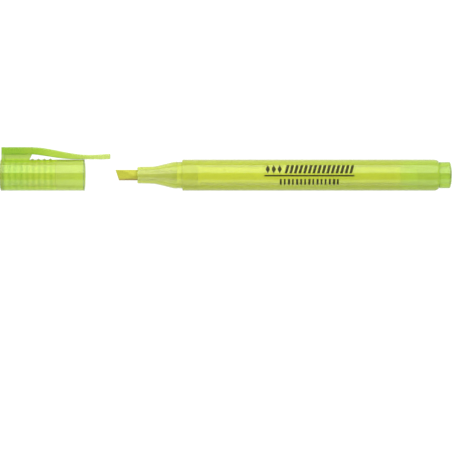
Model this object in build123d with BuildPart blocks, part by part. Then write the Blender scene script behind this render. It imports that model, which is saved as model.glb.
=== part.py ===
"""Slim pocket highlighter with a chisel nib, laid out with its cap pulled off.

+X runs along the pen axis from the nib to the tail, +Y is the way the clip stands off
the cap, and +Z is up from the table that the pen lies on. The origin is on the pen
axis, halfway along the barrel. All lengths are in millimetres, all angles in degrees.
"""

import os
from math import asin, degrees, radians, sin, tan

from build123d import *

# Driving dimensions -------------------------------------------------------------------
BODY_RADIUS = 5.95  # barrel and cap, which are flush when the pen is closed
SEAT_RADIUS = 5.1  # land on the nose that the cap grips
POST_RADIUS = 5.03  # end plug, which the cap also fits
BARREL_LENGTH = 97.6
BARREL_WALL = 1.1
NOSE_LENGTH = 17.1  # from the barrel's shoulder to the front of the nose
NIB_RADIUS = 2.0
NIB_REACH = 8.4  # of nib in front of the nose
CAP_LENGTH = 32.0  # from the mouth to the rim of the closed end
CAP_OFF = 37.25  # how far the cap stands in front of its closed place
CLIP_TOP = 10.65  # height of the clip above the pen axis
CLIP_WIDTH = 4.6

SLIP = 0.03  # gap between pieces that are pressed together
FIT = 0.10  # gap between the cap and the land that it slides over

# Stations along the pen axis
SHOULDER = -BARREL_LENGTH / 2
TAIL = BARREL_LENGTH / 2
NOSE_FRONT = SHOULDER - NOSE_LENGTH
NIB_TIP = NOSE_FRONT - NIB_REACH
MOUTH = SHOULDER - CAP_OFF
CLOSED_END = MOUTH - CAP_LENGTH

# Shared by the pieces that nest in the barrel
BORE = BODY_RADIUS - BARREL_WALL
SPIGOT_RADIUS = BORE - SLIP
FILM_RADIUS = 4.15
SOCKET_RADIUS = FILM_RADIUS + SLIP
CORE_START = SHOULDER - 2.0
FRONT_SPIGOT = 6.0  # of the front section inside the barrel
PLUG_SPIGOT = 8.0  # of the end plug inside the barrel
SPIGOT_LEAD = 0.4  # length of the bevel that leads each spigot in
SPIGOT_BEVEL = 0.2  # depth of that bevel

# Shared by the snap ring in the cap and its groove on the nose
SNAP_SETBACK = 1.6
SNAP_WIDTH = 0.7


def write(piece, name):
    """Label a finished piece and write it to its own STEP file."""
    piece.part.label = name
    export_step(piece.part, f"parts/{name}.step")


def dome_radius(rim_radius, height):
    """Radius of the sphere that domes a round end by this height."""
    return (rim_radius**2 + height**2) / (2 * height)


os.makedirs("parts", exist_ok=True)

# Barrel: an open tube with a rounded tail and ribs that centre the reservoir ----------
TAIL_CURVE = 2.6
TAIL_TURN = 40
SHOULDER_BREAK = 0.12
RIB_COUNT = 4
RIB_WIDTH = 0.5
RIB_FOOT = 0.3  # of each rib buried in the barrel's wall
RIB_GAP = 0.6  # between the ribs and each spigot
RIB_START = SHOULDER + FRONT_SPIGOT + RIB_GAP
RIB_LENGTH = TAIL - PLUG_SPIGOT - RIB_GAP - RIB_START

with BuildPart() as barrel:
    with BuildSketch(Plane.XY):
        with BuildLine():
            wall = Polyline(
                (SHOULDER, BORE),
                (SHOULDER, BODY_RADIUS - SHOULDER_BREAK),
                (SHOULDER + SHOULDER_BREAK, BODY_RADIUS),
                (TAIL - TAIL_CURVE * sin(radians(TAIL_TURN)), BODY_RADIUS),
            )
            rounding = JernArc(wall @ 1, (1, 0), TAIL_CURVE, -TAIL_TURN)
            Polyline(rounding @ 1, (TAIL, BORE), wall @ 0)
        make_face()
    revolve(axis=Axis.X)
    rib_height = BORE - SOCKET_RADIUS + RIB_FOOT
    with BuildSketch(Plane.YZ.offset(RIB_START)):
        with PolarLocations(SOCKET_RADIUS + rib_height / 2, RIB_COUNT, start_angle=45):
            Rectangle(rib_height, RIB_WIDTH)
    extrude(amount=RIB_LENGTH)
write(barrel, "barrel")

# Front section: the nose that holds the nib, on a spigot pressed into the barrel ------
NOSE_FRONT_RADIUS = 3.15
NECK_RADIUS = 3.3
FRONT_ROUNDING = 0.2
NECK = SHOULDER - 10.4  # where the slim nose starts to flare
LAND = SHOULDER - 3.2  # where the flare meets the cap's land
NECK_CURVE = 12.0
LAND_CURVE = 6.0
CHANNEL_RADIUS = 2.4
CHANNEL_END = SHOULDER - 9.6
SNAP_GROOVE = 0.08
GRIP_COUNT = 4
GRIP_WIDTH = 0.5
GRIP_RADIUS = NIB_RADIUS + 0.02
GRIP_FOOT = 0.2  # of each grip buried in the channel's wall
GRIP_SETBACK = 0.8  # of the nib grips behind the front of the nose

with BuildPart() as front_section:
    with BuildSketch(Plane.XY) as nose_profile:
        with BuildLine():
            nose = FilletPolyline(
                (NOSE_FRONT, NOSE_FRONT_RADIUS),
                (NECK, NECK_RADIUS),
                (LAND, SEAT_RADIUS),
                (SHOULDER, SEAT_RADIUS),
                radius=[NECK_CURVE, LAND_CURVE],
            )
            Polyline(
                nose @ 1,
                (SHOULDER, SPIGOT_RADIUS),
                (SHOULDER + FRONT_SPIGOT - SPIGOT_LEAD, SPIGOT_RADIUS),
                (SHOULDER + FRONT_SPIGOT, SPIGOT_RADIUS - SPIGOT_BEVEL),
                (SHOULDER + FRONT_SPIGOT, SOCKET_RADIUS),
                (CORE_START - SLIP, SOCKET_RADIUS),
                (CHANNEL_END, CHANNEL_RADIUS),
                (NOSE_FRONT, CHANNEL_RADIUS),
                nose @ 0,
            )
        make_face()
        with Locations((SHOULDER - SNAP_SETBACK, SEAT_RADIUS)):
            Ellipse(SNAP_WIDTH / 2, SNAP_GROOVE, mode=Mode.SUBTRACT)
        front_corners = nose_profile.vertices().sort_by(Axis.X)[:2]
        fillet(front_corners, radius=FRONT_ROUNDING)
    revolve(axis=Axis.X)
    grip_height = CHANNEL_RADIUS - GRIP_RADIUS + GRIP_FOOT
    with BuildSketch(Plane.YZ.offset(NOSE_FRONT + GRIP_SETBACK)):
        with PolarLocations(GRIP_RADIUS + grip_height / 2, GRIP_COUNT, start_angle=45):
            Rectangle(grip_height, GRIP_WIDTH)
    extrude(amount=CHANNEL_END - NOSE_FRONT - GRIP_SETBACK)
write(front_section, "front_section")

# Nib: a round fibre rod cut to a slanted chisel, its tail pushed into the reservoir ---
NIB_SLANT = 18.5  # of the chisel edge from square
NIB_BEVEL = 18.0  # of each flat from the middle plane
NIB_EDGE = 0.75  # thickness of the chisel edge
NIB_END = SHOULDER + 3.5
NIB_END_RADIUS = 1.2
NIB_TAPER = CORE_START - 0.6  # where the tail starts to taper
ROD_SPARE = 1.0  # of the raw rod in front of the cut

with BuildPart() as nib:
    with BuildSketch(Plane.XY):
        with BuildLine():
            Polyline(
                (NIB_TIP - ROD_SPARE, 0),
                (NIB_TIP - ROD_SPARE, NIB_RADIUS),
                (NIB_TAPER, NIB_RADIUS),
                (NIB_END, NIB_END_RADIUS),
                (NIB_END, 0),
                close=True,
            )
        make_face()
    revolve(axis=Axis.X)
    rearward = Vector(1, 0, 0).rotate(Axis.Z, NIB_SLANT)
    along_edge = rearward.rotate(Axis.Z, 90)
    edge_middle = (NIB_TIP + NIB_RADIUS * tan(radians(NIB_SLANT)), 0, 0)
    bevel_length = (NIB_RADIUS - NIB_EDGE / 2) / tan(radians(NIB_BEVEL))
    rod_length = 2 * (NIB_END - NIB_TIP)
    with BuildSketch(Plane(origin=edge_middle, x_dir=rearward, z_dir=along_edge)):
        with BuildLine():
            Polyline(
                (0, NIB_EDGE / 2),
                (bevel_length, NIB_RADIUS),
                (rod_length, NIB_RADIUS),
                (rod_length, -NIB_RADIUS),
                (bevel_length, -NIB_RADIUS),
                (0, -NIB_EDGE / 2),
                close=True,
            )
        make_face()
    extrude(amount=rod_length, both=True, mode=Mode.INTERSECT)
write(nib, "nib")

# Ink reservoir: a fibre core in a thin film sleeve ------------------------------------
CORE_LENGTH = 84.9
FILM_WALL = 0.12
GLUE_LINE = 0.02  # between the film and the fibres
CORE_RADIUS = FILM_RADIUS - FILM_WALL - GLUE_LINE

with BuildPart() as reservoir_core:
    with BuildSketch(Plane.YZ.offset(CORE_START)):
        Circle(CORE_RADIUS)
    extrude(amount=CORE_LENGTH)
    with BuildSketch(Plane.XY):
        with BuildLine():
            Polyline(
                (NIB_TAPER, 0),
                (NIB_TAPER, NIB_RADIUS + SLIP),
                (NIB_END + SLIP, NIB_END_RADIUS + SLIP),
                (NIB_END + SLIP, 0),
                close=True,
            )
        make_face()
    revolve(axis=Axis.X, mode=Mode.SUBTRACT)
write(reservoir_core, "reservoir_core")

with BuildPart() as reservoir_film:
    with BuildSketch(Plane.YZ.offset(CORE_START)):
        Circle(FILM_RADIUS)
        Circle(FILM_RADIUS - FILM_WALL, mode=Mode.SUBTRACT)
    extrude(amount=CORE_LENGTH)
write(reservoir_film, "reservoir_film")

# End plug: a hollow stopper pressed into the tail, stepped down to take the cap -------
PLUG_HOLLOW = 3.5
PLUG_NECK = 0.3  # of narrow neck showing behind the barrel
PLUG_STEP = 0.15  # length of the bevel from the neck up to the post
PLUG_RIM = TAIL + 4.4
PLUG_DOME = 0.9
PLUG_WALL = 1.2  # thickness of the closed end
PLUG_EDGE = 0.5

with BuildPart() as end_plug:
    with BuildSketch(Plane.XY) as plug_profile:
        with BuildLine():
            stopper = Polyline(
                (PLUG_RIM + PLUG_DOME - PLUG_WALL, 0),
                (PLUG_RIM + PLUG_DOME - PLUG_WALL, PLUG_HOLLOW),
                (TAIL - PLUG_SPIGOT, PLUG_HOLLOW),
                (TAIL - PLUG_SPIGOT, SPIGOT_RADIUS - SPIGOT_BEVEL),
                (TAIL - PLUG_SPIGOT + SPIGOT_LEAD, SPIGOT_RADIUS),
                (TAIL + PLUG_NECK, SPIGOT_RADIUS),
                (TAIL + PLUG_NECK + PLUG_STEP, POST_RADIUS),
                (PLUG_RIM, POST_RADIUS),
            )
            ball = dome_radius(POST_RADIUS, PLUG_DOME)
            turn = degrees(asin(POST_RADIUS / ball))
            dome = CenterArc((PLUG_RIM + PLUG_DOME - ball, 0), ball, turn, -turn)
            Line(dome @ 1, stopper @ 0)
        make_face()
        fillet(plug_profile.vertices().sort_by_distance(stopper @ 1)[0], radius=PLUG_EDGE)
    revolve(axis=Axis.X)
write(end_plug, "end_plug")

# Cap shell: a closed tube with the root of the clip and a row of small grip bumps -----
CAP_BORE = SEAT_RADIUS + FIT
CAP_BORE_DEPTH = 10.7  # of the wide bore that clears the flare of the nose
LINER_BORE = 4.65
CAP_END_WALL = 1.5
CAP_DOME = 0.4
CAP_END_ROUNDING = 0.35
SNAP_RING = 0.06
MOUTH_LEAD = 0.35  # length of the bevel inside the mouth
MOUTH_BEVEL = 0.2  # depth of that bevel
MOUTH_ROUNDING = 0.12

CLIP_START = CLOSED_END + 0.4
CLIP_SPLIT = MOUTH - 20.1  # where the springy arm of the clip leaves its root
CLIP_ROOT = 2.75  # thickness of the clip there
WEB_WIDTH = 1.7
WEB_FOOT = CLIP_SPLIT - 1.3  # where the web meets the cap
WEB_BASE = 5.2  # height in the cap's wall that the web grows from
CLIP_END_FACE = 1.2
CLIP_END_SINK = 0.5  # how much deeper than the web the end face goes
CLIP_EDGE = 0.4
CLIP_CORNER = 0.2

BUMP_COUNT = 4
BUMP_PITCH = 2.25
BUMP_START = MOUTH - 19.85
BUMP_RADIUS = 0.6
BUMP_HEIGHT = 0.33
BUMP_SPREAD = 52  # how far each bump reaches round the cap

with BuildPart() as cap_shell:
    with BuildSketch(Plane.XY) as cap_profile:
        with BuildLine():
            skin = Polyline(
                (MOUTH, CAP_BORE + MOUTH_BEVEL),
                (MOUTH, BODY_RADIUS),
                (CLOSED_END, BODY_RADIUS),
            )
            ball = dome_radius(BODY_RADIUS, CAP_DOME)
            turn = degrees(asin(BODY_RADIUS / ball))
            dome = CenterArc((CLOSED_END - CAP_DOME + ball, 0), ball, 180 - turn, turn)
            Polyline(
                dome @ 1,
                (CLOSED_END + CAP_END_WALL, 0),
                (CLOSED_END + CAP_END_WALL, LINER_BORE),
                (MOUTH - CAP_BORE_DEPTH, LINER_BORE),
                (MOUTH - CAP_BORE_DEPTH, CAP_BORE),
                (MOUTH - MOUTH_LEAD, CAP_BORE),
                skin @ 0,
            )
        make_face()
        with Locations((MOUTH - SNAP_SETBACK, CAP_BORE)):
            Ellipse(SNAP_WIDTH / 2, SNAP_RING)
        closed_rim = cap_profile.vertices().sort_by_distance(skin @ 1)[0]
        fillet(closed_rim, radius=CAP_END_ROUNDING)
        mouth_rim = cap_profile.vertices().sort_by_distance((MOUTH, BODY_RADIUS))[0]
        fillet(mouth_rim, radius=MOUTH_ROUNDING)
    revolve(axis=Axis.X)

    with BuildSketch(Plane.XY):
        with BuildLine():
            Polyline(
                (CLIP_START + CLIP_CORNER, WEB_BASE),
                (CLIP_START + CLIP_CORNER, CLIP_TOP - CLIP_ROOT / 2),
                (CLIP_SPLIT, CLIP_TOP - CLIP_ROOT / 2),
                (CLIP_SPLIT, CLIP_TOP - CLIP_ROOT),
                (WEB_FOOT, WEB_BASE),
                close=True,
            )
        make_face()
    extrude(amount=WEB_WIDTH / 2, both=True)
    with BuildSketch(Plane.YZ.offset(CLIP_START)):
        with Locations((CLIP_TOP - CLIP_ROOT / 2, 0)):
            RectangleRounded(CLIP_ROOT, CLIP_WIDTH, CLIP_EDGE)
    extrude(amount=CLIP_SPLIT - CLIP_START)
    with BuildSketch(Plane.YZ.offset(CLIP_START)):
        with Locations(((WEB_BASE + CLIP_TOP) / 2 - CLIP_END_SINK / 2, 0)):
            RectangleRounded(CLIP_TOP - WEB_BASE + CLIP_END_SINK, CLIP_WIDTH, CLIP_EDGE)
    extrude(amount=CLIP_END_FACE)

    bump_side = Plane.XY.rotated((-BUMP_SPREAD / 2, 0, 0))
    with BuildSketch(bump_side):
        with Locations((BUMP_START, BODY_RADIUS + BUMP_HEIGHT - BUMP_RADIUS)):
            with GridLocations(BUMP_PITCH, 1, BUMP_COUNT, 1, align=(Align.MIN, Align.CENTER)):
                Circle(BUMP_RADIUS)
    revolve(axis=Axis.X, revolution_arc=BUMP_SPREAD)
write(cap_shell, "cap_shell")

# Pocket clip: the springy arm, which swoops down to the barrel and turns up at its tip
ARM_START = CLIP_SPLIT + 0.02
ARM_TOP = CLIP_TOP - 0.04  # a hair below the root, so that the two don't rub
CLIP_TIP = MOUTH + 9.8
CLIP_TIP_TOP = 8.15
CLIP_TIP_UNDERSIDE = 6.15
CLIP_TIP_WIDTH = 3.8
CLIP_TIP_CORNER = 0.9
CLIP_REST = BODY_RADIUS + 0.08  # lowest part of the clip's underside
ALONG = 0.2  # an edge whose tangent's X is over this runs along the arm

with BuildPart() as pocket_clip:
    with BuildSketch(Plane.XY):
        with BuildLine():
            top = Spline(
                (ARM_START, ARM_TOP),
                (MOUTH - 10.3, 9.32),
                (MOUTH - 2.6, 7.96),
                (CLIP_TIP, CLIP_TIP_TOP),
                tangents=[(1, -0.02), (1, 0.1)],
            )
            underside = Spline(
                (CLIP_TIP, CLIP_TIP_UNDERSIDE),
                (MOUTH + 2.2, CLIP_REST),
                (MOUTH - 4.9, CLIP_REST + 0.06),
                (MOUTH - 11.2, CLIP_REST + 0.68),
                (ARM_START, CLIP_TOP - CLIP_ROOT),
                tangents=[(-1, -0.1), (-1, 0.06)],
            )
            Line(top @ 1, underside @ 0)
            Line(underside @ 1, top @ 0)
        make_face()
    extrude(amount=CLIP_WIDTH, both=True)
    with BuildSketch(Plane.XZ):
        with BuildLine():
            FilletPolyline(
                (ARM_START, CLIP_WIDTH / 2),
                (CLIP_TIP, CLIP_TIP_WIDTH / 2),
                (CLIP_TIP, -CLIP_TIP_WIDTH / 2),
                (ARM_START, -CLIP_WIDTH / 2),
                radius=CLIP_TIP_CORNER,
            )
            Line((ARM_START, -CLIP_WIDTH / 2), (ARM_START, CLIP_WIDTH / 2))
        make_face()
    extrude(amount=-2 * CLIP_TOP, mode=Mode.INTERSECT)
    arm_edges = pocket_clip.edges().filter_by(lambda edge: edge.center().X > ARM_START + CLIP_EDGE)
    long_edges = arm_edges.filter_by(lambda edge: abs(edge.tangent_at(0.5).X) > ALONG)
    fillet(long_edges, radius=CLIP_EDGE)
write(pocket_clip, "pocket_clip")

# Cap liner: the inner cap that seals round the nose, held in the shell by its rings ---
LINER_SETBACK = 0.05  # of its mouth behind the step in the shell's bore
LINER_MOUTH = MOUTH - CAP_BORE_DEPTH - LINER_SETBACK
LINER_END = CLOSED_END + CAP_END_WALL + SLIP
LINER_RADIUS = 4.35
LINER_HOLLOW = 3.5
LINER_BEVEL = 0.3
LINER_END_WALL = 1.0
SEAL_SETBACK = 1.0
SEAL_HEIGHT = 0.1
SEAL_WIDTH = 0.8
RING_COUNT = 7
RING_PITCH = 2.26
RING_RADIUS = 0.5
RING_START = LINER_END + 4.4

with BuildPart() as cap_liner:
    with BuildSketch(Plane.XY):
        with BuildLine():
            Polyline(
                (LINER_END, 0),
                (LINER_END, LINER_RADIUS),
                (LINER_MOUTH, LINER_RADIUS),
                (LINER_MOUTH, LINER_HOLLOW + LINER_BEVEL),
                (LINER_MOUTH - LINER_BEVEL, LINER_HOLLOW),
                (LINER_END + LINER_END_WALL, LINER_HOLLOW),
                (LINER_END + LINER_END_WALL, 0),
                close=True,
            )
        make_face()
        with Locations((LINER_MOUTH - SEAL_SETBACK, LINER_HOLLOW)):
            Ellipse(SEAL_WIDTH / 2, SEAL_HEIGHT)
        with Locations((RING_START, LINER_BORE - SLIP - RING_RADIUS)):
            with GridLocations(RING_PITCH, 1, RING_COUNT, 1, align=(Align.MIN, Align.CENTER)):
                Circle(RING_RADIUS)
    revolve(axis=Axis.X)
write(cap_liner, "cap_liner")
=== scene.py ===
"""A slim see-through highlighter, laid out with its cap off, seen from straight above."""

import math
import random

import bmesh
import bpy
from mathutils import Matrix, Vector


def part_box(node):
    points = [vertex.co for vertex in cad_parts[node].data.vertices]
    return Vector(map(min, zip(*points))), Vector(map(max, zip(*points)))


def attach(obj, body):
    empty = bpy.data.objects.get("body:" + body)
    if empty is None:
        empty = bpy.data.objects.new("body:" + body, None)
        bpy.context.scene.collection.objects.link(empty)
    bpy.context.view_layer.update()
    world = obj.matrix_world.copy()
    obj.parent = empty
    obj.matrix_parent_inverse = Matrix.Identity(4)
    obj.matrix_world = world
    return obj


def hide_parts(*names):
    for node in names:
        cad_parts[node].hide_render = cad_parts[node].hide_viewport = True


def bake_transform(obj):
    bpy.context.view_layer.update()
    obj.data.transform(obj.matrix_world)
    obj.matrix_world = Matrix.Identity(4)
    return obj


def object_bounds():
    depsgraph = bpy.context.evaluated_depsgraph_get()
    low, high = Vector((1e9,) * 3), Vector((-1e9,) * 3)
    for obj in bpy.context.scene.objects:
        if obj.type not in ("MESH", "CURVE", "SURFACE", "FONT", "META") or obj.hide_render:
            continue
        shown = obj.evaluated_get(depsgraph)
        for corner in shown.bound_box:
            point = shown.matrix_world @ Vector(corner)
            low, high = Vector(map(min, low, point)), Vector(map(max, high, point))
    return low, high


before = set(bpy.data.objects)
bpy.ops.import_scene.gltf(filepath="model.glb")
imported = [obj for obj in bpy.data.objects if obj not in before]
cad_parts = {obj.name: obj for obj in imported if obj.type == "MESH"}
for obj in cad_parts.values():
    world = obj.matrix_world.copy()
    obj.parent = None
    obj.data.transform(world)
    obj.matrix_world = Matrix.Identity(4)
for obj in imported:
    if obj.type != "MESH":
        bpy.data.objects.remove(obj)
cad_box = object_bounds()

MM = 0.001

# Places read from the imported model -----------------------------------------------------
barrel_low, barrel_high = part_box("barrel")
cap_low, cap_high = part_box("cap_shell")
arm_low, arm_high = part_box("pocket_clip")
liner_low, liner_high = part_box("cap_liner")
BODY_RADIUS = barrel_high.z
SHOULDER, TAIL = barrel_low.x, barrel_high.x
CLOSED_END, MOUTH = cap_low.x, cap_high.x
LINER_MOUTH = liner_high.x
SPLIT = arm_low.x  # where the clip's arm leaves its root on the cap
FLOOR_Z = barrel_low.z
MIDDLE_X = (cad_box[0].x + cad_box[1].x) / 2

# Camera --------------------------------------------------------------------------------
LENS = 200.0  # long, so that the pen is seen almost without perspective
SENSOR = 36.0
FRAME_WIDTH = 172.4 * MM  # of the pen's plane that the picture takes in
NEAREST, FARTHEST = 0.01, 10.0  # that the camera sees
AXIS_ABOVE_MIDDLE = 19.4 * MM  # how far the pen lies above the picture's middle


def make_camera():
    """Look straight down on the pen, with +X to the right and +Y up the picture."""
    data = bpy.data.cameras.new("camera")
    data.lens = LENS
    data.sensor_width = SENSOR
    data.clip_start, data.clip_end = NEAREST, FARTHEST
    camera = bpy.data.objects.new("camera", data)
    height = FRAME_WIDTH * LENS / SENSOR
    camera.location = (MIDDLE_X, -AXIS_ABOVE_MIDDLE, height)
    bpy.context.scene.collection.objects.link(camera)
    bpy.context.scene.camera = camera


# Node helpers --------------------------------------------------------------------------
NOISE_LOW, NOISE_HIGH = 0.3, 0.7  # a noise texture is nearly always between these


def new_material(name):
    """A node material with only its Principled shader and output, and a link helper."""
    material = bpy.data.materials.new(name)
    material.use_nodes = True
    nodes = material.node_tree.nodes
    shader = nodes["Principled BSDF"]
    return material, nodes, material.node_tree.links.new, shader


def object_coordinates(nodes, link, scale=(1, 1, 1)):
    """The row frame's coordinates in millimetres, times a scale along each axis."""
    source = nodes.new("ShaderNodeTexCoord")
    mapping = nodes.new("ShaderNodeMapping")
    mapping.inputs["Scale"].default_value = tuple(share / MM for share in scale)
    link(source.outputs["Object"], mapping.inputs["Vector"])
    return mapping.outputs["Vector"]


def object_axes(nodes, link):
    """The row frame's coordinates in metres, as outputs named X, Y and Z."""
    source = nodes.new("ShaderNodeTexCoord")
    parts = nodes.new("ShaderNodeSeparateXYZ")
    link(source.outputs["Object"], parts.inputs["Vector"])
    return parts.outputs


def noise(nodes, link, vector, scale, detail=3.0, roughness=0.5):
    """A noise texture's factor. scale is its features per millimetre."""
    texture = nodes.new("ShaderNodeTexNoise")
    texture.inputs["Scale"].default_value = scale
    texture.inputs["Detail"].default_value = detail
    texture.inputs["Roughness"].default_value = roughness
    link(vector, texture.inputs["Vector"])
    return texture.outputs["Fac"]


def ramp(nodes, link, factor, *stops):
    """Colours at places from 0 to 1, picked by the factor."""
    node = nodes.new("ShaderNodeValToRGB")
    elements = node.color_ramp.elements
    while len(elements) < len(stops):
        elements.new(0.5)
    for element, (place, colour) in zip(elements, stops):
        element.position = place
        element.color = (*colour, 1.0)
    link(factor, node.inputs["Fac"])
    return node.outputs["Color"]


def spread(nodes, link, factor, low, high):
    """A noise factor, spread from low to high."""
    node = nodes.new("ShaderNodeMapRange")
    node.inputs["From Min"].default_value = NOISE_LOW
    node.inputs["From Max"].default_value = NOISE_HIGH
    node.inputs["To Min"].default_value = low
    node.inputs["To Max"].default_value = high
    link(factor, node.inputs["Value"])
    return node.outputs["Result"]


def bump(nodes, link, shader, height, distance, strength):
    """Bump by the height factor. distance is in millimetres."""
    node = nodes.new("ShaderNodeBump")
    node.inputs["Distance"].default_value = distance * MM
    node.inputs["Strength"].default_value = strength
    link(height, node.inputs["Height"])
    link(node.outputs["Normal"], shader.inputs["Normal"])


def place_along(nodes, link, axis, start, end):
    """0 up to one place along X, Y or Z, and 1 from another. Both are in metres."""
    node = nodes.new("ShaderNodeMapRange")
    node.interpolation_type = "SMOOTHSTEP"
    node.inputs["From Min"].default_value = start
    node.inputs["From Max"].default_value = end
    link(object_axes(nodes, link)[axis], node.inputs["Value"])
    return node.outputs["Result"]


def rings_along(nodes, link, start, pitch):
    """0 at each ring's middle and 1 halfway to the next. start is the first ring's place."""
    shift = nodes.new("ShaderNodeMath")
    shift.operation = "SUBTRACT"
    shift.inputs[1].default_value = start
    link(object_axes(nodes, link)["X"], shift.inputs[0])
    fold = nodes.new("ShaderNodeMath")
    fold.operation = "PINGPONG"
    fold.inputs[1].default_value = pitch / 2
    link(shift.outputs[0], fold.inputs[0])
    node = nodes.new("ShaderNodeMapRange")
    node.inputs["From Max"].default_value = pitch / 2
    link(fold.outputs[0], node.inputs["Value"])
    return node.outputs["Result"]


def mix(nodes, link, share, first, second):
    """The first colour, with a share of the second."""
    node = nodes.new("ShaderNodeMixRGB")
    link(share, node.inputs["Fac"])
    link(first, node.inputs["Color1"])
    link(second, node.inputs["Color2"])
    return node.outputs["Color"]


# Tints: each is a function that picks a colour by a cloudy factor ----------------------
CLOUD_STOPS = (0.35, 0.65)  # factors at which a tint is darkest and lightest


def even(light, dark):
    """One tint all over, slightly cloudy."""
    def tint(nodes, link, cloud):
        return ramp(nodes, link, cloud, (CLOUD_STOPS[0], dark), (CLOUD_STOPS[1], light))
    return tint


def faded(near, far, axis, start, end):
    """From one tint to another, between two places along X, Y or Z."""
    def tint(nodes, link, cloud):
        share = place_along(nodes, link, axis, start, end)
        return mix(nodes, link, share, near(nodes, link, cloud), far(nodes, link, cloud))
    return tint


def ring_shaded(ring, plain, start, pitch):
    """One tint at even rings along the pen, and another between them; used for painted shade at
    the liner's rings.
    """
    def tint(nodes, link, cloud):
        share = rings_along(nodes, link, start, pitch)
        return mix(nodes, link, share, ring(nodes, link, cloud), plain(nodes, link, cloud))
    return tint


# Materials -----------------------------------------------------------------------------
PLASTIC_IOR = 1.47
MOULD_GRAIN = (0.25, 1, 1)  # scale of a moulding's unevenness, drawn out along the pen
FIBRE_GRAIN = (0.08, 1, 1)  # scale of the fibres, drawn out much more
POLISH_SPREAD = 0.2  # of a moulding's roughness, either way


def clear_plastic(name, tint, absorbed, transmission, roughness=0.12):
    """See-through moulded plastic: a slightly uneven tint, and the faint ripple of a mould.

    absorbed is how much red, green and blue light a millimetre of it takes."""
    material, nodes, link, shader = new_material(name)
    vector = object_coordinates(nodes, link, scale=MOULD_GRAIN)
    cloud = noise(nodes, link, vector, scale=0.35)
    link(tint(nodes, link, cloud), shader.inputs["Base Color"])
    fine = noise(nodes, link, vector, scale=2.0, detail=4.0)
    smoothest, roughest = roughness * (1 - POLISH_SPREAD), roughness * (1 + POLISH_SPREAD)
    polish = spread(nodes, link, fine, low=smoothest, high=roughest)
    link(polish, shader.inputs["Roughness"])
    ripple = noise(nodes, link, vector, scale=0.4, detail=0.0)
    bump(nodes, link, shader, ripple, distance=0.01, strength=0.015)
    shader.inputs["Transmission Weight"].default_value = transmission
    shader.inputs["IOR"].default_value = PLASTIC_IOR
    volume = nodes.new("ShaderNodeVolumeAbsorption")
    densest = max(absorbed)
    volume.inputs["Density"].default_value = densest / MM
    volume.inputs["Color"].default_value = (*(1 - a / densest for a in absorbed), 1)
    link(volume.outputs["Volume"], nodes["Material Output"].inputs["Volume"])
    return material


def soaked_fibre(name, tint, relief, painted_glow):
    """Fibres along the pen, soaked with ink. The emission colour is painted light: it stands in
    for what the fluorescent ink adds, and shines even where no lamp reaches.
    """
    material, nodes, link, shader = new_material(name)
    vector = object_coordinates(nodes, link, scale=FIBRE_GRAIN)
    strands = noise(nodes, link, vector, scale=3.0, detail=6.0, roughness=0.7)
    link(tint(nodes, link, strands), shader.inputs["Base Color"])
    link(spread(nodes, link, strands, low=0.85, high=0.6), shader.inputs["Roughness"])
    bump(nodes, link, shader, strands, distance=0.08, strength=relief)
    # painted light: an emission, so the fibres shine without any lamp
    shader.inputs["Emission Color"].default_value = (*painted_glow, 1)
    shader.inputs["Emission Strength"].default_value = 1.0
    return material


def ink_material():
    """Thin dark printing ink, a little uneven where the pen has been handled."""
    material, nodes, link, shader = new_material("print_ink")
    vector = object_coordinates(nodes, link)
    patchy = noise(nodes, link, vector, scale=1.5, detail=4.0)
    thick, thin = (0.02, 0.021, 0.002), (0.04, 0.041, 0.005)
    link(ramp(nodes, link, patchy, (0.35, thick), (0.7, thin)), shader.inputs["Base Color"])
    link(spread(nodes, link, patchy, low=0.6, high=0.8), shader.inputs["Roughness"])
    shader.inputs["Specular IOR Level"].default_value = 0.15
    bump(nodes, link, shader, noise(nodes, link, vector, scale=8.0), distance=0.004, strength=0.5)
    return material


def dress(node, material):
    """Give a CAD node its material."""
    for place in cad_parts[node].material_slots:
        place.link = "OBJECT"
        place.material = material


# The pen's own pieces ------------------------------------------------------------------
SEAM = 0.2 * MM  # half the length over which a tint changes where two pieces meet
MIDDLE_FADE = (-15 * MM, 15 * MM)  # along the barrel, from its front tint to its middle one
CORE_END_FADE = (30 * MM, 40 * MM)  # across the reservoir's end, past which it is greener
LAND_FADE = (SHOULDER - 5 * MM, SHOULDER - 2.5 * MM)  # between the nose's flare and its land
NIB_PAINTED_SHADE = (-2.0 * MM, -0.8 * MM)  # up the nib, from painted shade on its low side
hidden_tint = even((0.99, 1.0, 0.08), (0.97, 0.99, 0.07))  # where a spigot is in the barrel


def dress_barrel():
    """The barrel is yellowest over the front of the reservoir and greenest at the tail."""
    front = even((0.88, 0.96, 0.085), (0.85, 0.94, 0.07))
    middle = even((0.81, 0.92, 0.075), (0.78, 0.90, 0.065))
    tail = even((0.78, 0.98, 0.095), (0.75, 0.96, 0.08))
    tint = faded(faded(front, middle, "X", *MIDDLE_FADE), tail, "X", *CORE_END_FADE)
    absorbed = (0.48, 0.40, 1.4)
    dress("barrel", clear_plastic("barrel_plastic", tint, absorbed, transmission=0.78))


def dress_front_section():
    """The nose: pale in front, deeper on the land, and clear in the barrel."""
    front = even((0.76, 0.83, 0.16), (0.73, 0.81, 0.13))
    land = even((0.70, 0.79, 0.10), (0.67, 0.77, 0.08))
    seen = faded(front, land, "X", *LAND_FADE)
    tint = faded(seen, hidden_tint, "X", SHOULDER - SEAM, SHOULDER + SEAM)
    absorbed = (0.20, 0.16, 0.5)
    material = clear_plastic("nose_plastic", tint, absorbed, transmission=0.74, roughness=0.14)
    dress("front_section", material)


def dress_end_plug():
    """The stopper, greener where it stands out of the barrel."""
    seen = even((0.67, 0.80, 0.15), (0.63, 0.77, 0.12))
    tint = faded(hidden_tint, seen, "X", TAIL - SEAM, TAIL + SEAM)
    absorbed = (0.14, 0.07, 0.5)
    dress("end_plug", clear_plastic("plug_plastic", tint, absorbed, transmission=0.85))


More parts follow.
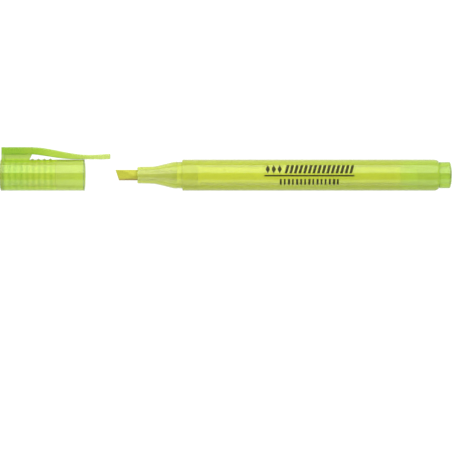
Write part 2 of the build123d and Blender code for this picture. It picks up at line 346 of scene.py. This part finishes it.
def dress_reservoir():
    """A clear film round a fibre rod, whose fluorescent ink is given a painted emission that
    makes the barrel look lit from within.
    """
    film_tint = even((0.97, 0.98, 0.8), (0.95, 0.97, 0.7))
    film = clear_plastic("film", film_tint, (0.1, 0.1, 0.2), transmission=0.98, roughness=0.1)
    dress("reservoir_film", film)
    core_tint = even((0.95, 0.80, 0.03), (0.88, 0.72, 0.02))
    # painted light: the fibre rod emits this colour as if it were a lamp, standing in for the
    # ink's fluorescence
    painted_glow = (0.45, 0.42, 0.0)
    dress("reservoir_core", soaked_fibre("reservoir_fibre", core_tint, relief=0.15, painted_glow=painted_glow))


def dress_nib():
    """Felt soaked with ink, with painted shade darkening its low side and a lighter, painted-lit
    upper side.
    """
    # painted shade: the low side is darker as if it got less light, and the upper side is painted
    # as lit
    painted_shade_tint = even((0.25, 0.19, 0.03), (0.21, 0.16, 0.025))
    lit = even((0.33, 0.34, 0.013), (0.27, 0.28, 0.01))
    tint = faded(painted_shade_tint, lit, "Y", *NIB_PAINTED_SHADE)
    dress("nib", soaked_fibre("nib_fibre", tint, relief=0.5, painted_glow=(0.0, 0.0, 0.0)))


# The cap's pieces ----------------------------------------------------------------------
RING_START = liner_low.x + 4.4 * MM  # the middle of the liner's first ring
RING_PITCH = 2.26 * MM
LINED_FADE = (CLOSED_END + 7 * MM, CLOSED_END + 14 * MM)  # the shell grows yellower here
LINER_MOUTH_FADE = (LINER_MOUTH - 0.4 * MM, LINER_MOUTH + 0.4 * MM)
# painted shade: a darker grey-green band along the mouth's edge
RIM_SHADE_FADE = (MOUTH - 0.6 * MM, MOUTH - 0.2 * MM)
WEB_FADE = (6.1 * MM, 6.4 * MM)  # heights in Y, from the shell to the clip's web
ROOT_FADE = (7.6 * MM, 8.1 * MM)  # heights in Y, from the web to the clip's root
SPLIT_FADE = (SPLIT - 6 * MM, SPLIT)  # the root grows lighter towards the arm
ARM_FADE = (SPLIT, SPLIT + 9 * MM)  # the arm's deepest green ends here
# towards the arm's free end, where a painted highlight is mixed into the tint
TIP_HIGHLIGHT_FADE = (SPLIT + 9 * MM, SPLIT + 27 * MM)
ARM_CUTS = 48  # cross cuts, which let the arm bend evenly
WELD = 1e-3 * MM
CUT_TOLERANCE = 1e-4 * MM
SMOOTH_ANGLE = math.radians(35)


def lined_tint():
    """The shell over the liner, painted darker at even bands over the liner's real rings: painted
    shade standing in for the rings showing through it.
    """
    # painted shade: darker tints over the rings, lighter ones between them
    end_ring_shade = even((0.665, 0.885, 0.06), (0.645, 0.865, 0.05))
    end_plain = even((0.80, 0.95, 0.11), (0.77, 0.93, 0.095))
    mouth_ring_shade = even((0.745, 0.90, 0.06), (0.72, 0.88, 0.05))
    mouth_plain = even((0.88, 0.96, 0.11), (0.85, 0.94, 0.095))
    end = ring_shaded(end_ring_shade, end_plain, RING_START, RING_PITCH)
    mouth = ring_shaded(mouth_ring_shade, mouth_plain, RING_START, RING_PITCH)
    return faded(end, mouth, "X", *LINED_FADE)


def dress_cap_shell():
    """The cap: its tube, painted shade along the edge of its mouth, and the clip's web and root.
    """
    single_wall = even((0.72, 0.81, 0.15), (0.69, 0.79, 0.12))
    # painted shade for the mouth's edge, darker and greyer than the wall
    rim_painted_shade = even((0.48, 0.60, 0.20), (0.45, 0.57, 0.18))
    web = even((0.74, 0.84, 0.32), (0.71, 0.82, 0.28))
    root = even((0.52, 0.74, 0.06), (0.49, 0.72, 0.05))
    root_end = even((0.64, 0.78, 0.08), (0.61, 0.76, 0.07))
    tube = faded(lined_tint(), single_wall, "X", *LINER_MOUTH_FADE)
    tube = faded(tube, rim_painted_shade, "X", *RIM_SHADE_FADE)
    tint = faded(tube, web, "Y", *WEB_FADE)
    tint = faded(tint, faded(root, root_end, "X", *SPLIT_FADE), "Y", *ROOT_FADE)
    absorbed = (0.30, 0.16, 0.9)
    dress("cap_shell", clear_plastic("cap_plastic", tint, absorbed, transmission=0.78))


def dress_cap_liner():
    """The inner cap, painted greener at its real rings: painted shade for how they show through
    the shell.
    """
    # painted shade over the rings, darker than the plain liner between them
    ring = even((0.72, 0.90, 0.05), (0.70, 0.88, 0.04))
    plain = even((1.0, 1.0, 0.35), (0.98, 1.0, 0.3))
    tint = ring_shaded(ring, plain, RING_START, RING_PITCH)
    absorbed = (0.02, 0.01, 0.12)
    dress("cap_liner", clear_plastic("liner_plastic", tint, absorbed, transmission=0.85))


def arm_material():
    """The arm's plastic: deep green at the split and palest at the free end, whose whitish tint
    is partly a painted highlight.
    """
    near = even((0.50, 0.68, 0.055), (0.48, 0.66, 0.045))
    middle = even((0.66, 0.77, 0.12), (0.63, 0.75, 0.10))
    # partly thinner, paler plastic and partly a painted highlight: the whitish tint stands in for
    # reflections on the arm's rounded edges
    tip_with_painted_highlight = even((0.79, 0.81, 0.32), (0.76, 0.79, 0.28))
    tint = faded(near, middle, "X", *ARM_FADE)
    tint = faded(tint, tip_with_painted_highlight, "X", *TIP_HIGHLIGHT_FADE)
    return clear_plastic("clip_plastic", tint, (0.18, 0.09, 0.5), transmission=0.78)


def add_piece(form, name, material):
    """Turn a bmesh into a smooth piece with one material, in its mesh's slot."""
    mesh = bpy.data.meshes.new(name)
    form.to_mesh(mesh)
    form.free()
    mesh.shade_smooth()
    mesh.set_sharp_from_angle(angle=SMOOTH_ANGLE)
    mesh.materials.clear()
    mesh.materials.append(material)
    piece = bpy.data.objects.new(name, mesh)
    bpy.context.scene.collection.objects.link(piece)
    return piece


def make_clip_arm():
    """The arm as a mesh, cut across at even places so that it can bend evenly out of the cap's
    root; on the real cap the two are one moulding.
    """
    form = bmesh.new()
    form.from_mesh(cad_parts["pocket_clip"].data)
    bmesh.ops.remove_doubles(form, verts=form.verts, dist=WELD)
    for cut in range(1, ARM_CUTS):
        place = (arm_low.x + (arm_high.x - arm_low.x) * cut / ARM_CUTS, 0, 0)
        everything = form.verts[:] + form.edges[:] + form.faces[:]
        bmesh.ops.bisect_plane(
            form, geom=everything, dist=CUT_TOLERANCE, plane_co=place, plane_no=(1, 0, 0)
        )
    arm = add_piece(form, "clip_arm", arm_material())
    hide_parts("pocket_clip")
    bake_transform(arm)


# The printed mark: plain shapes, with no lettering -------------------------------------
INK_PROUD = 0.006 * MM
INK_TOP = BODY_RADIUS + INK_PROUD
INK_BOTTOM = BODY_RADIUS - INK_PROUD
INK_STEP = 0.3 * MM  # round the barrel, between the points of a curved edge
PRINT_START = -17.6 * MM  # along the barrel
PRINT_END = 16.5 * MM
RULE = (-0.62 * MM, -0.02 * MM)  # lower and upper edge, as heights above the pen's axis
UPPER_ROW = (0.55 * MM, 3.7 * MM)
LOWER_ROW = (-3.7 * MM, -1.6 * MM)
DIAMOND_COUNT = 3
DIAMOND_WIDTH = 1.75 * MM
DIAMOND_PITCH = 2.25 * MM
DIAMOND_BLUNTNESS = 0.04  # the width of a diamond's points, as a share of its own
DIAMONDS_START = PRINT_START + 0.4 * MM
STROKE_COUNT = 15
STROKE_WIDTH = 1.05 * MM
STROKE_LEAN = 0.9 * MM
STROKES_START = PRINT_START + 7.6 * MM
TICK_COUNT = 15
TICK_PITCH = 1.55 * MM
TICK_WIDTHS = (0.65, 1.0)  # narrowest and widest, in millimetres
TICKS_START = PRINT_START + 5.8 * MM
SEED = 7


def add_ink(form, low, high, left, right):
    """A patch of ink between two heights. left and right give its edges at a share of them."""
    steps = max(2, math.ceil((high - low) / INK_STEP))
    layers = []
    for radius in (INK_BOTTOM, INK_TOP):
        for edge in (left, right):
            rows = []
            for step in range(steps + 1):
                share = step / steps
                y = low + (high - low) * share
                rows.append(form.verts.new((edge(share), y, math.sqrt(radius**2 - y**2))))
            layers.append(rows)
    bottom_left, bottom_right, top_left, top_right = layers
    for row in range(steps):
        for first, second in ((bottom_right, bottom_left), (top_left, top_right),
                              (bottom_left, top_left), (top_right, bottom_right)):
            form.faces.new((first[row], second[row], second[row + 1], first[row + 1]))
    for row in (0, steps):
        form.faces.new([layer[row] for layer in (bottom_left, bottom_right, top_right, top_left)])


def add_diamond(form, middle):
    """A diamond in the upper row."""
    def half_width(share):
        return DIAMOND_WIDTH / 2 * max(DIAMOND_BLUNTNESS, 1 - abs(2 * share - 1))

    add_ink(form, *UPPER_ROW, lambda share: middle - half_width(share),
            lambda share: middle + half_width(share))


def add_stroke(form, left):
    """A leaning stroke in the upper row."""
    add_ink(form, *UPPER_ROW, lambda share: left + STROKE_LEAN * share,
            lambda share: left + STROKE_LEAN * share + STROKE_WIDTH)


def make_print():
    """Diamonds and leaning strokes above a rule, and a row of ticks below it."""
    chance = random.Random(SEED)
    form = bmesh.new()
    add_ink(form, *RULE, lambda share: PRINT_START, lambda share: PRINT_END)
    for number in range(DIAMOND_COUNT):
        add_diamond(form, DIAMONDS_START + DIAMOND_WIDTH / 2 + DIAMOND_PITCH * number)
    stroke_pitch = (PRINT_END - STROKE_LEAN - STROKE_WIDTH - STROKES_START) / (STROKE_COUNT - 1)
    for number in range(STROKE_COUNT):
        add_stroke(form, STROKES_START + stroke_pitch * number)
    for number in range(TICK_COUNT):
        left = TICKS_START + TICK_PITCH * number
        right = left + chance.uniform(*TICK_WIDTHS) * MM
        add_ink(form, *LOWER_ROW, lambda share: left, lambda share: right)
    bmesh.ops.recalc_face_normals(form, faces=form.faces)
    mark = add_piece(form, "print_mark", ink_material())
    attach(mark, "pen")


# Studio --------------------------------------------------------------------------------
WHITE = (1, 1, 1, 1)
FLOOR_GREY = (0.05, 0.05, 0.05, 1)
FLOOR_HALF = 3.0
ROOM_STRENGTH = 0.6
SOFTBOX_LENGTH = 1.0


def make_floor():
    """A pale, softly lit floor that carries the pen."""
    mesh = bpy.data.meshes.new("floor")
    corners = [(-1, -1), (1, -1), (1, 1), (-1, 1)]
    points = [(FLOOR_HALF * x, FLOOR_HALF * y, FLOOR_Z) for x, y in corners]
    mesh.from_pydata(points, [], [(0, 1, 2, 3)])
    floor = bpy.data.objects.new("floor", mesh)
    bpy.context.scene.collection.objects.link(floor)
    material, nodes, link, shader = new_material("pale_floor")
    shader.inputs["Base Color"].default_value = FLOOR_GREY
    shader.inputs["Roughness"].default_value = 0.9
    shader.inputs["Specular IOR Level"].default_value = 0.0
    shader.inputs["Emission Color"].default_value = WHITE
    shader.inputs["Emission Strength"].default_value = 1.0
    mesh.materials.append(material)


def make_softbox(name, upper, lower, radiance):
    """A long softbox along X, aimed at the pen. upper and lower are its edges, as (y, z)."""
    upper, lower = Vector((0, *upper)), Vector((0, *lower))
    data = bpy.data.lights.new(name, "AREA")
    data.shape = "RECTANGLE"
    data.size = SOFTBOX_LENGTH
    data.size_y = (lower - upper).length
    data.energy = radiance * math.pi * data.size * data.size_y
    light = bpy.data.objects.new(name, data)
    pen = Vector((MIDDLE_X, 0, 0))
    light.location = (upper + lower) / 2 + pen
    light.rotation_euler = (light.location - pen).to_track_quat("Z", "Y").to_euler()
    light.visible_camera = False
    bpy.context.scene.collection.objects.link(light)


def make_light():
    """Two softboxes along the pen, the far one brighter, and a pale room."""
    make_softbox("far_softbox", upper=(0.11, 0.42), lower=(0.43, 0.08), radiance=3.15)
    make_softbox("near_softbox", upper=(-0.27, 0.38), lower=(-0.44, 0.04), radiance=1.8)
    world = bpy.data.worlds.new("room")
    world.use_nodes = True
    background = world.node_tree.nodes["Background"]
    background.inputs["Color"].default_value = WHITE
    background.inputs["Strength"].default_value = ROOM_STRENGTH
    bpy.context.scene.world = world
    bpy.context.scene.view_settings.view_transform = "Standard"


make_camera()
make_floor()
make_light()
dress_barrel()
dress_front_section()
dress_end_plug()
dress_cap_shell()
make_clip_arm()
dress_cap_liner()
dress_reservoir()
dress_nib()
make_print()
